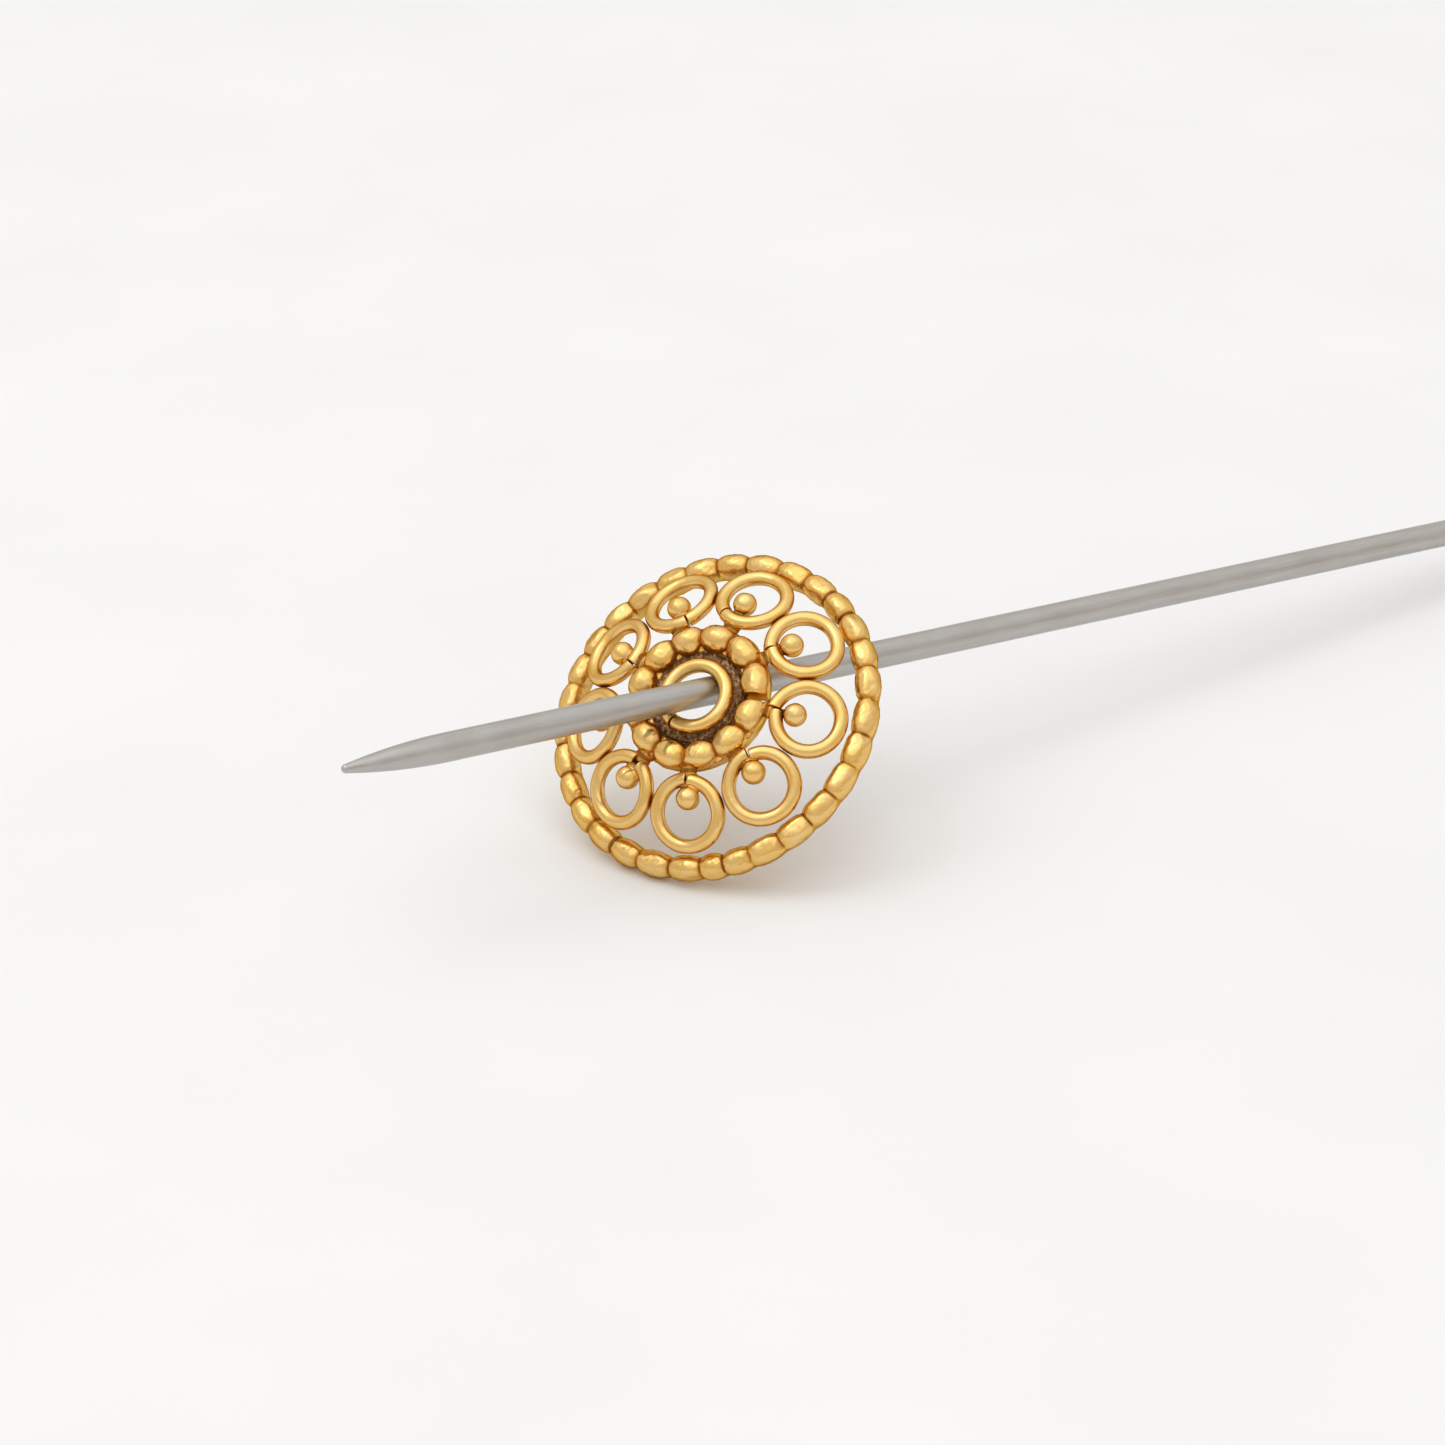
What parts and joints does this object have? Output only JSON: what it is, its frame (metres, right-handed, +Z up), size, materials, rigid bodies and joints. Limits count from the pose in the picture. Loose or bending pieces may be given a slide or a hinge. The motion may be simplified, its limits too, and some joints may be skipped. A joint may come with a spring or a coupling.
{
  "type": "openwork disc bead on pin",
  "caption": "Domed openwork disc bead of beaded wire, rings and granules, threaded on a tapered steel pin.",
  "frame": {"origin": "centre of the part's outline on the ground it lies on", "axes": "+X along the pin towards its plain end, +Z up"},
  "size_m": [0.0823, 0.0146, 0.0108],
  "materials": {
    "gold": "satin polished yellow gold",
    "solder_gold": "duller and darker where the solder has run",
    "oxidised_gold": "dark, rough and pitted",
    "steel": "fine lengthwise drawing lines"
  },
  "bodies": {
    "disc": {"rim": "gold", "collar": "gold", "hub_plate": "oxidised_gold", "centre_ring": "gold", "ring_1": "gold", "ring_2": "gold", "ring_3": "gold", "ring_4": "gold", "ring_5": "gold", "ring_6": "gold", "ring_7": "gold", "ring_8": "gold", "ring_9": "gold", "granule_1": "gold", "granule_2": "gold", "granule_3": "gold", "granule_4": "gold", "granule_5": "gold", "granule_6": "gold", "granule_7": "gold", "granule_8": "gold", "granule_9": "gold", "rim_solder": "solder_gold", "collar_solder": "solder_gold", "ring_solder": "solder_gold"},
    "pin": {"pin": "steel"}
  },
  "joints": [
    {"name": "pin_slide", "type": "slide", "parent": "disc", "child": "pin", "axis": [0.9952, 0, -0.0976], "range_m": [-0.061, 0.015]}
  ]
}
